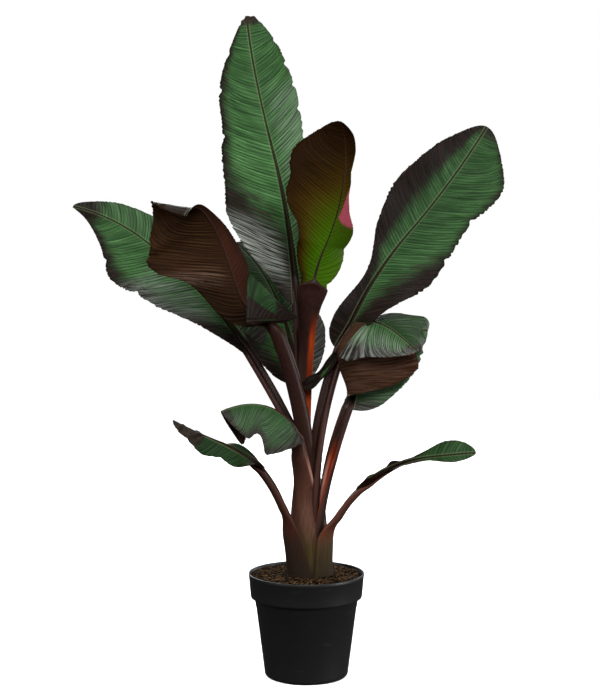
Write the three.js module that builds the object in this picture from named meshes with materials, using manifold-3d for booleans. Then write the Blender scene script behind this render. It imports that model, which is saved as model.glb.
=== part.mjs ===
// A red ornamental banana plant, its leaves turned and folded as they grew, in a plain round nursery pot.
// Millimetres and degrees, +Z up. The origin is the centre of the pot's flat underside, and -Y is the front.
// A lean is measured from straight up, and a heading from +X towards +Y.
import * as THREE from "three";
import Module from "manifold-3d";
import { mergeVertices } from "three/addons/utils/BufferGeometryUtils.js";

const wasm = await Module();
wasm.setup();

// Clearance between two pieces that touch on the plant.
const GAP = 0.3;

// Pot: a tapered moulding with a tall band under its rim.
const POT_HEIGHT = 215;
const POT_WALL = 2.5;
const POT_FLOOR = 3;
const RIM_RADIUS = 120;
const RIM_LIP = 2;
const BAND_HEIGHT = 46;
const BAND_FOOT_RADIUS = 116;
const BODY_TOP_RADIUS = 107;
const BAND_STEP = 5;
const FOOT_RADIUS = 87;
const FOOT_ROUND = 9;
const FOOT_ROUND_STEPS = 3;
const POT_SIDES = 32;

// Compost: its top is level round the stem and falls a little towards the wall.
const COMPOST_TOP = 212;
const COMPOST_EDGE = 209;
const COMPOST_LEVEL_RADIUS = 60;

// Pseudostem: half widths from the compost to the fork, and the drift of its centre.
const STEM_TOP = 442;
const STEM_ACROSS = [46, 44.5, 44, 42, 38, 33, 25];
const STEM_DEPTH = [46, 43.5, 42, 39, 35, 30, 23];
const STEM_FOOT_CENTRE = [7, -2];
const STEM_TOP_CENTRE = [3, 0];
const STEM_SIDES = 20;
const STEM_RINGS = 8;

// Petiole: a channelled stalk, deeper for its width at the neck than at the foot.
const PETIOLE_SIDES = 12;
const PETIOLE_RINGS = 8;
const PETIOLE_FOOT_DEPTH = 0.3;
const PETIOLE_NECK_DEPTH = 0.42;
const CHANNEL_LIP = 1.1;
const CHANNEL_FLOOR = 0.12;

// Blade: thickness as a share of its length, the half width that is left at the tip, the distance from the rib
// over which the two halves run into one another, and the tightest curl.
const BLADE_THICKNESS = 0.0105;
const LEAST_THICKNESS = 4;
const TIP_HALF = 3;
const RIB_TIP_SHARE = 0.15;
const RIB_FILLET = 14;
const LEAST_CURL_RADIUS = 5;
const COLUMN_SPREAD = 1.4;

// Margins: how the sweep grows across a half, the share of the blade over which it sets in, and the angle,
// in radians, by which the right margin's ripple leads the left one's.
const SWEEP_POWER = 1.5;
const SWEEP_ONSET = 0.25;
const RIPPLE_LEAD = 1.7;

// Corners nearer than this are one corner.
const SAME_CORNER = 1e-3;

// Steps of the growth rule along a stalk, along a blade and across half a blade.
const STALK_STEPS = 24;
const BLADE_STEPS = 60;
const STRIP_STEPS = 16;

// Leaves, from the neck where stalk and blade meet. stalk and blade are lengths. lean and heading hold the
// foot, the neck and even stations to the tip. roll turns the blade round its rib. Each half has its widths,
// its fold up from the rib, and a curl that comes between two shares of its width. sweep carries the margin
// towards the tip, blunt and shoulder round off the tip and the base, and ripple waves the margins. A blade that
// runs on keeps its width to its end, where the next piece folds over.
// petiole is the stalk's width at foot and neck, and cells are columns in a half and rows.
const LEAVES = [
  {
    name: "tall",
    neck: [-19, 29, 768],
    stalk: 409,
    blade: 630,
    lean: [2, 5, 16, 20],
    heading: [109, 139, 153, 106],
    roll: [45, 55, 20],
    left: { half: [58, 120, 112, 93, 68, 14], fold: [30, 8, 0], curl: [0, -25, -20] },
    right: { half: [16, 41, 63, 77, 68, 32], fold: [45, 25, 5], curl: [0, -20, -20] },
    ripple: { height: 5, waves: 4.3, start: 0.4 },
    blunt: 30,
    petiole: [30, 17],
    cells: [5, 14],
  },
  {
    name: "young",
    neck: [13, -24, 804],
    stalk: 406,
    blade: 356,
    lean: [-4, 14, 26, 24, 17, 36],
    heading: [-75, -56, -25, -57, -80, -132],
    roll: [40, 30, 10],
    left: { half: [64, 80, 32, 12, 22, 32], fold: [30, 20, 0], curl: [0, 20, 0] },
    right: { half: [44, 64, 106, 109, 116, 82], fold: [30, 5, 0], curl: [0, -10, 0] },
    ripple: { height: 3, waves: 2.5, start: 0.2 },
    shoulder: 16,
    petiole: [40, 36],
    cells: [5, 12],
  },
  {
    name: "right",
    neck: [69, 1, 675],
    stalk: 384,
    blade: 585,
    lean: [-6, 23, 44, 34],
    heading: [18, 28, 23, 21],
    roll: [-40, -55, -60],
    left: { half: [64, 24, 70, 94, 80, 53], fold: [40, 15, 5], curl: [0, -15, -10] },
    right: { half: [48, 103, 104, 92, 113, 64], fold: [40, 10, 5], curl: [0, -20, -10] },
    ripple: { height: 4, waves: 3.6, start: 1.0 },
    sweep: 0.13,
    petiole: [44, 28],
    cells: [5, 14],
  },
  {
    name: "far_left",
    neck: [-117, 53, 662],
    stalk: 290,
    blade: 507,
    lean: [27, 33, 45, 53, 77],
    heading: [155, 165, 167, 178],
    roll: [40, 50, 40],
    left: { half: [49, 85, 101, 121, 66, 15], fold: [30, 5, -5], curl: [0, -20, -20] },
    right: { half: [93, 82, 70, 58, 45, 32], fold: [40, 35, 20], curl: [0, -10, 0] },
    ripple: { height: 5, waves: 3.2, start: 2.0 },
    sweep: 0.13,
    petiole: [32, 19],
    cells: [5, 13],
  },
  {
    name: "brown",
    neck: [-57, -59, 708],
    stalk: 389,
    blade: 370,
    lean: [0, 24, 65, 22, 21, 28, 52, 150],
    heading: [-129, -150, -162, -150, -146, -143, -130, -118],
    roll: [-60, -60, -55, -40, 20],
    left: { half: [4, 20, 45, 28, 12, 8], fold: [60, 45, 40, 30], curl: [0, 0] },
    right: { half: [4, 53, 86, 152, 128, 105], fold: [10, 0, 0, 0], curl: [0, -10, 0] },
    ripple: { height: 3, waves: 2.2, start: 0.7 },
    sweep: 0.1,
    blunt: 16,
    petiole: [46, 30],
    cells: [5, 18],
  },
  {
    name: "folded",
    neck: [83, -33, 560],
    stalk: 305,
    blade: 178,
    lean: [4, 20, 19, 8],
    heading: [-25, 5, 45, 48],
    roll: [-80, -55, -45],
    left: {
      half: [20, 100, 205, 255, 200, 110],
      fold: [20, 0, 0, 0],
      curl: [60, 172, 172, 172],
      turn: [0.16, 0.38],
    },
    right: { half: [49, 70, 93, 114, 122, 125], fold: [10, 5, 0, 0], curl: [0, 0] },
    ripple: { height: 1, waves: 2.0, start: 0.0 },
    sweep: 0,
    runsOn: true,
    petiole: [36, 24],
    cells: [9, 14],
  },
  {
    name: "folded_tip",
    neck: [126, -11, 738],
    stalk: 0,
    blade: 134,
    lean: [92, 94, 122, 131],
    heading: [-41, -41, -33, -25],
    roll: [0, 0],
    left: { half: [50, 79, 107, 109, 83, 60], fold: [15, 15, 10], curl: [0, 0, -20] },
    right: { half: [122, 113, 90, 72, 57, 41], fold: [-26, -35, -35], curl: [-20, -20, 0] },
    ripple: { height: 1, waves: 2.0, start: 0.0 },
    sweep: 0.1,
    blunt: 6,
    shoulder: 60,
    petiole: [8, 8],
    cells: [4, 8],
  },
  {
    name: "low_left",
    neck: [-90, -68, 435],
    stalk: 221,
    blade: 215,
    lean: [4, 40, 67, 61],
    heading: [-140, -153, -165, -164],
    roll: [35, 45, 35],
    left: { half: [14, 42, 32, 38, 26, 20], fold: [30, -25, -30], curl: [30, -15, -10] },
    right: { half: [8, 20, 24, 24, 20, 12], fold: [30, -40, -50], curl: [30, -20, -20] },
    ripple: { height: 3, waves: 3.0, start: 0.0 },
    sweep: 0.1,
    petiole: [52, 22],
    cells: [3, 10],
  },
  {
    name: "front",
    neck: [-18, -66, 500],
    stalk: 278,
    blade: 205,
    lean: [-1, 17, 53, 88, 116],
    heading: [-95, -112, -156, -166, -166],
    roll: [0, 0],
    left: { half: [40, 98, 105, 66, 76, 60], fold: [-35, -52, -58], curl: [-10, -20, -10] },
    right: { half: [30, 50, 55, 66, 98, 95], fold: [-10, -40, -68], curl: [0, -30, -10] },
    ripple: { height: 4, waves: 2.0, start: 0.5 },
    sweep: 0.05,
    blunt: 10,
    petiole: [56, 26],
    cells: [4, 11],
  },
  {
    name: "low_right",
    neck: [106, -58, 394],
    stalk: 187,
    blade: 260,
    lean: [6, 48, 62, 82, 84],
    heading: [-42, -25, -18, -14, -13],
    roll: [-20, -60, -50],
    left: { half: [6, 14, 4, 14, 4, 8, 15, 25, 30, 27, 18], fold: [40, 30, 10], curl: [40, 20, 0] },
    right: { half: [8, 20, 5, 18, 5, 10, 15, 19, 20, 18, 12], fold: [40, 30, 10], curl: [40, 20, 0] },
    ripple: { height: 2, waves: 3.0, start: 0.0 },
    sweep: 0.08,
    blunt: 20,
    petiole: [46, 20],
    cells: [3, 16],
  },
  {
    name: "back",
    neck: [-18, 53, 600],
    stalk: 244,
    blade: 371,
    lean: [1, 17, 32, 57],
    heading: [109, 111, 132, 141],
    roll: [10, 25, 20],
    left: { half: [84, 96, 90, 80, 55, 30], fold: [20, 10, 10], curl: [0, -15, -10] },
    right: { half: [56, 78, 66, 57, 45, 30], fold: [20, 15, 10], curl: [0, -20, -10] },
    ripple: { height: 4, waves: 2.8, start: 0.9 },
    petiole: [28, 18],
    cells: [4, 11],
  },
  {
    name: "strip",
    neck: [66, -6, 672],
    stalk: 0,
    blade: 108,
    lean: [145, 145, 140, 100],
    heading: [-161, -161, -160, -185],
    roll: [60, 60, 90],
    left: { half: [10, 12, 10, 9, 12, 10], fold: [20, 20, 20], curl: [20, 45, 65] },
    right: { half: [12, 14, 11, 10, 12, 10], fold: [20, 20, 20], curl: [20, 45, 65] },
    ripple: { height: 1, waves: 2.0, start: 0.0 },
    sweep: 0.05,
    blunt: 10,
    shoulder: 40,
    petiole: [8, 8],
    cells: [3, 8],
  },
  {
    name: "lap",
    neck: [-121, -90, 742],
    stalk: 0,
    blade: 104,
    lean: [90, 90, 89, 86],
    heading: [0, 0, 4, 8],
    roll: [-80, -95],
    left: { half: [96, 78, 58, 38, 20, 8], fold: [0, 10, 10], curl: [0, -10, 0] },
    right: { half: [8, 10, 10, 9, 8, 5], fold: [-20, -30, -30], curl: [0, -40, -40] },
    ripple: { height: 2, waves: 1.5, start: 0.0 },
    sweep: 0.05,
    blunt: 12,
    shoulder: 60,
    petiole: [8, 8],
    cells: [4, 8],
  },
];
const USUAL = { sweep: 0.12, blunt: 8, shoulder: 16 };
const USUAL_TURN = [0, 1];

const COLOURS = {
  pot: { color: 0x111111, roughness: 0.5 },
  compost: { color: 0x34251a, roughness: 0.95 },
  pseudostem: { color: 0x5a3d2c, roughness: 0.55 },
  petiole: { color: 0x4a241c, roughness: 0.45 },
  leaf: { color: 0x3d5a38, roughness: 0.4 },
};

const { clamp, lerp, degToRad, radToDeg, smoothstep } = THREE.MathUtils;

// A value between even stations. blend shapes the way from one station to the next.
function between(stations, share, blend = (f) => f) {
  const place = clamp(share, 0, 1) * (stations.length - 1);
  const from = Math.min(Math.floor(place), stations.length - 2);
  return lerp(stations[from], stations[from + 1], blend(place - from));
}

const ease = (f) => smoothstep(f, 0, 1);

// A smooth curve through even stations, with its ends held.
function flowing(stations, share) {
  const last = stations.length - 1;
  const place = clamp(share, 0, 1) * last;
  const from = Math.min(Math.floor(place), last - 1);
  const f = place - from;
  const [p1, p2] = [stations[from], stations[from + 1]];
  const p0 = stations[Math.max(from - 1, 0)];
  const p3 = stations[Math.min(from + 2, last)];
  const bend = 2 * p0 - 5 * p1 + 4 * p2 - p3 + f * (3 * (p1 - p2) + p3 - p0);
  return p1 + 0.5 * f * (p2 - p0 + f * bend);
}

function direction(lean, heading) {
  const [tilt, turn] = [degToRad(lean), degToRad(heading)];
  const out = Math.sin(tilt);
  return new THREE.Vector3(out * Math.cos(turn), out * Math.sin(turn), Math.cos(tilt));
}

// The way along the leaf, its side and its upper face where it has a lean, a heading and a roll.
function axesAt(lean, heading, roll) {
  const along = direction(lean, heading);
  const upright = direction(lean - 90, heading);
  const across = along.clone().cross(upright);
  const [c, s] = [Math.cos(degToRad(roll)), Math.sin(degToRad(roll))];
  const side = across.clone().multiplyScalar(c).addScaledVector(upright, s);
  const face = upright.clone().multiplyScalar(c).addScaledVector(across, -s);
  return { along, side, face };
}

// Points of a spine that starts at a point and grows by equal steps along its angles.
function spine(start, length, steps, leanAt, headingAt) {
  const points = [new THREE.Vector3(...start)];
  for (let i = 0; i < steps; i += 1) {
    const middle = (i + 0.5) / steps;
    const step = direction(leanAt(middle), headingAt(middle)).multiplyScalar(length / steps);
    points.push(points[i].clone().add(step));
  }
  return points;
}

function pointOn(points, share) {
  const place = clamp(share, 0, 1) * (points.length - 1);
  const from = Math.min(Math.floor(place), points.length - 2);
  return points[from].clone().lerp(points[from + 1], place - from);
}

// The stalk's centre line, found back from the neck, with its angles.
function stalkOf(leaf) {
  const lean = (share) => lerp(leaf.lean[0], leaf.lean[1], share);
  const heading = (share) => lerp(leaf.heading[0], leaf.heading[1], share);
  const points = spine([0, 0, 0], leaf.stalk, STALK_STEPS, lean, heading);
  const shift = new THREE.Vector3(...leaf.neck).sub(points[STALK_STEPS]);
  return { points: points.map((point) => point.add(shift)), lean, heading };
}

function bladeOf(leaf) {
  const lean = (share) => between(leaf.lean.slice(1), share);
  const heading = (share) => between(leaf.heading.slice(1), share);
  return { points: spine(leaf.neck, leaf.blade, BLADE_STEPS, lean, heading), lean, heading };
}

function reshape(geometry, place) {
  const spots = geometry.getAttribute("position");
  for (let i = 0; i < spots.count; i += 1) {
    const spot = place(spots.getX(i), spots.getY(i), spots.getZ(i));
    spots.setXYZ(i, spot.x, spot.y, spot.z);
  }
  return geometry;
}

function solidOf(geometry) {
  geometry.deleteAttribute("normal");
  geometry.deleteAttribute("uv");
  const merged = mergeVertices(geometry, SAME_CORNER);
  const vertProperties = merged.getAttribute("position").array;
  const triVerts = new Uint32Array(merged.index.array);
  return new wasm.Manifold(new wasm.Mesh({ numProp: 3, vertProperties, triVerts }));
}

// The solid less everything that stands in its way, without the scraps that are cut loose.
function trimmed(solid, others) {
  const rest = others.reduce((left, other) => left.subtract(other), solid);
  const bodies = rest.decompose();
  return bodies.reduce((best, body) => (body.volume() > best.volume() ? body : best));
}

function geometryOf(solid) {
  const { vertProperties, triVerts } = solid.getMesh();
  const geometry = new THREE.BufferGeometry();
  geometry.setAttribute("position", new THREE.BufferAttribute(vertProperties, 3));
  geometry.setIndex(new THREE.BufferAttribute(triVerts, 1));
  geometry.computeVertexNormals();
  return geometry;
}

// Inside of the pot from its floor to its rim, drawn in by a clearance.
function potInside(clear) {
  const inset = POT_WALL + clear;
  return [
    new THREE.Vector2(FOOT_RADIUS - FOOT_ROUND - clear, POT_FLOOR + clear),
    new THREE.Vector2(FOOT_RADIUS - inset, FOOT_ROUND + POT_FLOOR),
    new THREE.Vector2(BODY_TOP_RADIUS - inset, POT_HEIGHT - BAND_HEIGHT - BAND_STEP),
    new THREE.Vector2(BAND_FOOT_RADIUS - inset, POT_HEIGHT - BAND_HEIGHT),
    new THREE.Vector2(RIM_RADIUS - inset, POT_HEIGHT - RIM_LIP / 2),
  ];
}

function lathe(profile) {
  return new THREE.LatheGeometry(profile, POT_SIDES).rotateX(Math.PI / 2);
}

function pot() {
  const bandFoot = POT_HEIGHT - BAND_HEIGHT;
  const corner = new THREE.Path().absarc(FOOT_RADIUS - FOOT_ROUND, FOOT_ROUND, FOOT_ROUND, -Math.PI / 2, 0);
  const outside = [
    new THREE.Vector2(0, 0),
    ...corner.getPoints(FOOT_ROUND_STEPS),
    new THREE.Vector2(BODY_TOP_RADIUS, bandFoot - BAND_STEP),
    new THREE.Vector2(BAND_FOOT_RADIUS - RIM_LIP, bandFoot - BAND_STEP),
    new THREE.Vector2(BAND_FOOT_RADIUS, bandFoot - BAND_STEP + RIM_LIP),
    new THREE.Vector2(RIM_RADIUS, POT_HEIGHT - RIM_LIP / 2),
    new THREE.Vector2(RIM_RADIUS - RIM_LIP / 2, POT_HEIGHT),
    new THREE.Vector2(RIM_RADIUS - POT_WALL + RIM_LIP / 4, POT_HEIGHT),
  ];
  const inside = potInside(0).reverse();
  return lathe([...outside, ...inside, new THREE.Vector2(0, POT_FLOOR)]);
}

function compost() {
  const wall = potInside(GAP);
  const [bandFoot, rim] = wall.slice(-2);
  const share = (COMPOST_EDGE - bandFoot.y) / (rim.y - bandFoot.y);
  const edge = bandFoot.clone().lerp(rim, share);
  const level = new THREE.Vector2(COMPOST_LEVEL_RADIUS, COMPOST_TOP);
  const floor = new THREE.Vector2(0, POT_FLOOR + GAP);
  return lathe([floor, ...wall.slice(0, -1), edge, level, new THREE.Vector2(0, COMPOST_TOP)]);
}

// The tight roll of leaf sheaths from its flat cut on the compost up to the fork.
function pseudostem(extra) {
  const foot = COMPOST_TOP + GAP;
  const round = new THREE.CylinderGeometry(1, 1, 1, STEM_SIDES, STEM_RINGS).rotateX(Math.PI / 2);
  return reshape(round, (x, y, z) => {
    const share = z + 0.5;
    const across = flowing(STEM_ACROSS, share) + extra;
    const depth = flowing(STEM_DEPTH, share) + extra;
    const centreX = lerp(STEM_FOOT_CENTRE[0], STEM_TOP_CENTRE[0], share);
    const centreY = lerp(STEM_FOOT_CENTRE[1], STEM_TOP_CENTRE[1], share);
    const height = lerp(foot, STEM_TOP + extra, share);
    return new THREE.Vector3(centreX + across * x, centreY + depth * y, height);
  });
}

// One channelled stalk from its foot in the pseudostem to just under the neck.
function petiole(leaf, extra) {
  const stalk = stalkOf(leaf);
  const end = 1 - (GAP - extra) / leaf.stalk;
  const round = new THREE.CylinderGeometry(1, 1, 1, PETIOLE_SIDES, PETIOLE_RINGS).rotateX(Math.PI / 2);
  return reshape(round, (x, y, z) => {
    const share = (z + 0.5) * end;
    const centre = pointOn(stalk.points, share);
    const roll = leaf.roll[0] * ease(share);
    const { side, face } = axesAt(stalk.lean(share), stalk.heading(share), roll);
    const width = lerp(leaf.petiole[0], leaf.petiole[1], Math.sqrt(share));
    const depth = width * lerp(PETIOLE_FOOT_DEPTH, PETIOLE_NECK_DEPTH, share) + extra;
    const rise = x > 0 ? x * (CHANNEL_LIP * Math.abs(y) + CHANNEL_FLOOR) : x;
    return centre.addScaledVector(side, y * (width / 2 + extra)).addScaledVector(face, rise * depth);
  });
}

// Half width at a share of the blade, never less than the rib needs.
function halfWidth(leaf, half, share) {
  const tip = leaf.runsOn ? 1 : Math.sqrt(1 - share ** leaf.blunt);
  const base = Math.sqrt(1 - (1 - share) ** leaf.shoulder);
  const least = lerp(leaf.petiole[1] / 2, TIP_HALF, share);
  return Math.max(flowing(half.half, share) * tip * base, least);
}

// Where a strip that leaves the rib gets to, and the angle it has there.
function strip(half, width, at, reach) {
  const [from, to] = half.turn ?? USUAL_TURN;
  const fold = between(half.fold, at, ease);
  const tightest = radToDeg((width * (to - from)) / LEAST_CURL_RADIUS);
  const curl = clamp(between(half.curl, at, ease), -tightest, tightest);
  const angleAt = (share) => degToRad(fold + curl * clamp((share - from) / (to - from), 0, 1));
  const step = (width * reach) / STRIP_STEPS;
  let [out, up] = [0, 0];
  for (let i = 0; i < STRIP_STEPS; i += 1) {
    const angle = angleAt((reach * (i + 0.5)) / STRIP_STEPS);
    out += step * Math.cos(angle);
    up += step * Math.sin(angle);
  }
  return { out, up, angle: angleAt(reach) };
}

// A blade of even thickness, with its rib standing out under it.
function bladeSolid(given, extra) {
  const leaf = { ...USUAL, ...given };
  const growth = bladeOf(leaf);
  const [columns, rows] = leaf.cells;
  const thickness = Math.max(LEAST_THICKNESS, leaf.blade * BLADE_THICKNESS) / 2 + extra;
  const ribDepth = leaf.petiole[1] * PETIOLE_NECK_DEPTH;
  const sheet = new THREE.BoxGeometry(2, 1, 2, columns * 2, rows, 1);
  return reshape(sheet, (x, y, z) => {
    const [sign, half] = x < 0 ? [-1, leaf.left] : [1, leaf.right];
    const reach = Math.abs(x) ** COLUMN_SPREAD;
    const share = y + 0.5;
    const onset = Math.min(1, share / SWEEP_ONSET);
    const swept = leaf.sweep * reach ** SWEEP_POWER * (1 - share) * onset;
    const at = share + swept;
    const roll = between(leaf.roll, at, ease);
    const { along, side, face } = axesAt(growth.lean(at), growth.heading(at), roll);
    const width = halfWidth(leaf, half, share) + extra;
    const { out, up, angle } = strip(half, width, at, reach);
    const tilt = angle * Math.min(1, (width * reach) / RIB_FILLET);
    const { height, waves, start } = leaf.ripple;
    const phase = 2 * Math.PI * waves * at + start + (sign > 0 ? RIPPLE_LEAD : 0);
    const wave = height * Math.sqrt(4 * share * (1 - share)) * reach ** 2 * Math.sin(phase);
    const normal = face.clone().multiplyScalar(Math.cos(tilt)).addScaledVector(side, -sign * Math.sin(tilt));
    const rib = x === 0 && z < 0 ? ribDepth * lerp(1, RIB_TIP_SHARE, share) : 0;
    return pointOn(growth.points, at)
      .addScaledVector(along, (2 * share - 1) * extra)
      .addScaledVector(side, sign * out)
      .addScaledVector(face, up)
      .addScaledVector(normal, wave + z * thickness - rib);
  });
}

function mesh(name, geometry, finish) {
  const made = new THREE.Mesh(geometry, new THREE.MeshStandardMaterial({ ...finish, metalness: 0 }));
  made.name = name;
  return made;
}

const plant = new THREE.Group();
plant.add(mesh("pot", pot(), COLOURS.pot));
plant.add(mesh("compost", compost(), COLOURS.compost));
plant.add(mesh("pseudostem", pseudostem(0), COLOURS.pseudostem));

// Stalks and blades are cut clear of the pieces made before them.
const inTheWay = [solidOf(pseudostem(GAP))];
for (const leaf of LEAVES.filter(({ stalk }) => stalk > 0)) {
  const solid = trimmed(solidOf(petiole(leaf, 0)), inTheWay);
  plant.add(mesh("petiole_" + leaf.name, geometryOf(solid), COLOURS.petiole));
  inTheWay.push(solidOf(petiole(leaf, GAP)));
}
for (const leaf of LEAVES) {
  const solid = trimmed(solidOf(bladeSolid(leaf, 0)), inTheWay);
  plant.add(mesh("leaf_" + leaf.name, geometryOf(solid), COLOURS.leaf));
  inTheWay.push(solidOf(bladeSolid(leaf, GAP)));
}

export default plant;
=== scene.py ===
"""A red ornamental banana plant in a round nursery pot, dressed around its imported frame."""
import math
import random

import bmesh
import bpy
from mathutils import Euler, Matrix, Vector, noise


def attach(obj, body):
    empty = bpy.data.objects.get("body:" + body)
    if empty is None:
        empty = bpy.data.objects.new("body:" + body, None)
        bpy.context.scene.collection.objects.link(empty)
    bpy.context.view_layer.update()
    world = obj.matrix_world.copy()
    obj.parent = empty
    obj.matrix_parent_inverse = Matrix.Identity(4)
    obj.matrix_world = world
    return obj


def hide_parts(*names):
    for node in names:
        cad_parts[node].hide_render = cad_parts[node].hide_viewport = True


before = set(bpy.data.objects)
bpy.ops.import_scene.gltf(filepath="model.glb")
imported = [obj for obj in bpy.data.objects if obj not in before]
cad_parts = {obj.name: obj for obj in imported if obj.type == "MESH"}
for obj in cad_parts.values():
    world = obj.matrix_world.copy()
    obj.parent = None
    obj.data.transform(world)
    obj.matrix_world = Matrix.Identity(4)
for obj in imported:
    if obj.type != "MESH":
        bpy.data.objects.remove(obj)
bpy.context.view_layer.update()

# Camera. It stands three metres in front of the plant at the height of the crown's middle and looks
# slightly down. The image is 600 by 700 pixels, so the sensor's width spans the 700.
CAMERA_PLACE = (-0.0133, -3.0, 0.860)
CAMERA_PITCH = math.radians(-3.5)
CAMERA_LENS = 75.24
SENSOR_WIDTH = 36.0


def in_scene(name, data):
    made = bpy.data.objects.new(name, data)
    bpy.context.collection.objects.link(made)
    return made


camera_data = bpy.data.cameras.new("camera")
camera_data.sensor_width = SENSOR_WIDTH
camera_data.lens = CAMERA_LENS
camera = in_scene("camera", camera_data)
camera.location = CAMERA_PLACE
camera.rotation_euler = (math.pi / 2 + CAMERA_PITCH, 0, 0)
bpy.context.scene.camera = camera

# Pot. A tapered black moulding, injected in one shot, with a tall band under a thin rim, a shallow collar
# below the band, and a skin of fine matt grain with a few handling scuffs.
MM = 0.001
POT_HEIGHT = 215
POT_WALL = 2.5
POT_FLOOR = 3
RIM_RADIUS = 120
RIM_HEIGHT = 6
RIM_PROUD = 0.6
RIM_SLANT = 1
BAND_FOOT_RADIUS = 116
BAND_HEIGHT = 46
BAND_STEP = 5
BAND_UNDERSIDE = 3
BAND_ROUND = (0.6, 1.4)
BODY_TOP_RADIUS = 107
COLLAR_HEIGHT = 18
COLLAR_PROUD = 0.7
COLLAR_SLANT = 1
FOOT_RADIUS = 87
FOOT_ROUND = 9
POT_STEPS = 128
POT_EDGE_ROUND = 0.9
POT_EDGE_ANGLE = math.radians(28)
POT_BLACK = (17, 17, 17)
POT_SCUFF = (38, 38, 39)


def tone(red, green, blue):
    """A colour given as screen values from 0 to 255, as the shaders take it."""
    parts = [part / 255 for part in (red, green, blue)]
    linear = [part / 12.92 if part <= 0.04045 else ((part + 0.055) / 1.055) ** 2.4 for part in parts]
    return (*linear, 1.0)


class Value:
    """One output of a shader node. Arithmetic on it adds Math nodes."""

    def __init__(self, finish, socket):
        self.finish = finish
        self.socket = socket

    def math(self, operation, *operands):
        sockets = dict(enumerate(operands))
        return self.finish.node("ShaderNodeMath", {"operation": operation}, sockets)

    def __add__(self, other):
        return self.math("ADD", self, other)

    def __sub__(self, other):
        return self.math("SUBTRACT", self, other)

    def __rsub__(self, other):
        return self.math("SUBTRACT", other, self)

    def __mul__(self, other):
        return self.math("MULTIPLY", self, other)

    def __pow__(self, other):
        return self.math("POWER", self, other)

    __radd__ = __add__
    __rmul__ = __mul__

    def sine(self):
        return self.math("SINE", self)

    def ramp(self, low, high):
        """Goes smoothly from 0 at low to 1 at high."""
        settings = {"interpolation_type": "SMOOTHSTEP"}
        sockets = {"Value": self, "From Min": low, "From Max": high}
        return self.finish.node("ShaderNodeMapRange", settings, sockets)


class Finish:
    """A material whose nodes are made one call at a time."""

    def __init__(self, name):
        self.material = bpy.data.materials.new(name)
        self.material.use_nodes = True
        self.tree = self.material.node_tree
        self.shader = self.tree.nodes["Principled BSDF"]

    def feed(self, socket, value):
        if isinstance(value, Value):
            self.tree.links.new(value.socket, socket)
        else:
            socket.default_value = value

    def node(self, kind, settings, sockets, output=0):
        made = self.tree.nodes.new(kind)
        for name, value in settings.items():
            setattr(made, name, value)
        for name, value in sockets.items():
            self.feed(made.inputs[name], value)
        return Value(self, made.outputs[output])

    def place(self):
        return self.node("ShaderNodeTexCoord", {}, {}, "Object")

    def mark(self, name):
        return self.node("ShaderNodeAttribute", {"attribute_name": name}, {}, "Fac")

    def spot(self, x, y, z):
        return self.node("ShaderNodeCombineXYZ", {}, {"X": x, "Y": y, "Z": z})

    def stretched(self, vector, x, y, z):
        return self.node("ShaderNodeVectorMath", {"operation": "MULTIPLY"}, {0: vector, 1: (x, y, z)})

    def mottle(self, vector, scale, detail=2.0):
        return self.node("ShaderNodeTexNoise", {}, {"Vector": vector, "Scale": scale, "Detail": detail})

    def blend(self, share, first, second):
        return self.node("ShaderNodeMix", {"data_type": "RGBA"}, {0: share, 6: first, 7: second}, 2)

    def shade(self, share, dark, pale):
        """Goes from a dark to a pale colour, both given as screen values."""
        return self.blend(share, tone(*dark), tone(*pale))

    def stain(self, share, colour, stain):
        """Lays a colour given as screen values over another."""
        return self.blend(share, colour, tone(*stain))

    def bump(self, height, distance, strength):
        sockets = {"Height": height, "Distance": distance, "Strength": strength}
        return self.node("ShaderNodeBump", {}, sockets)

    def dress(self, **sockets):
        for name, value in sockets.items():
            self.feed(self.shader.inputs[name.replace("_", " ")], value)
        return self.material


def place_piece(name, bm, finishes, slot, *nodes):
    """Turns a shape into a smooth piece that rides on the plant's one body in place of its nodes."""
    data = bpy.data.meshes.new(name)
    bm.to_mesh(data)
    bm.free()
    data.shade_smooth()
    for finish in finishes:
        data.materials.append(finish)
    piece = in_scene(name, data)
    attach(piece, "root")
    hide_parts(*nodes)
    return piece


def turned(profile, steps):
    """Spins a profile of radius and height about the upright axis into a closed shell."""
    bm = bmesh.new()
    verts = [bm.verts.new((radius * MM, 0, height * MM)) for radius, height in profile]
    edges = [bm.edges.new(pair) for pair in zip(verts, verts[1:])]
    bmesh.ops.spin(bm, geom=verts + edges, cent=(0, 0, 0), axis=(0, 0, 1), angle=2 * math.pi, steps=steps,
                   use_merge=True)
    bmesh.ops.remove_doubles(bm, verts=bm.verts, dist=1e-6)
    bmesh.ops.recalc_face_normals(bm, faces=bm.faces)
    return bm


def pot_finish():
    finish = Finish("black moulded plastic")
    place = finish.place()
    grain = finish.mottle(place, scale=900)
    scuffs = finish.mottle(finish.stretched(place, 14, 14, 60), scale=2.2, detail=6)
    worn = scuffs.ramp(0.60, 0.78)
    colour = finish.shade(worn * 0.5, POT_BLACK, POT_SCUFF)
    normal = finish.bump(grain, distance=0.0003, strength=0.25)
    roughness = 0.42 + grain * 0.08 + worn * 0.1
    return finish.dress(Base_Color=colour, Roughness=roughness, Specular_IOR_Level=0.45, Normal=normal)


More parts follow.
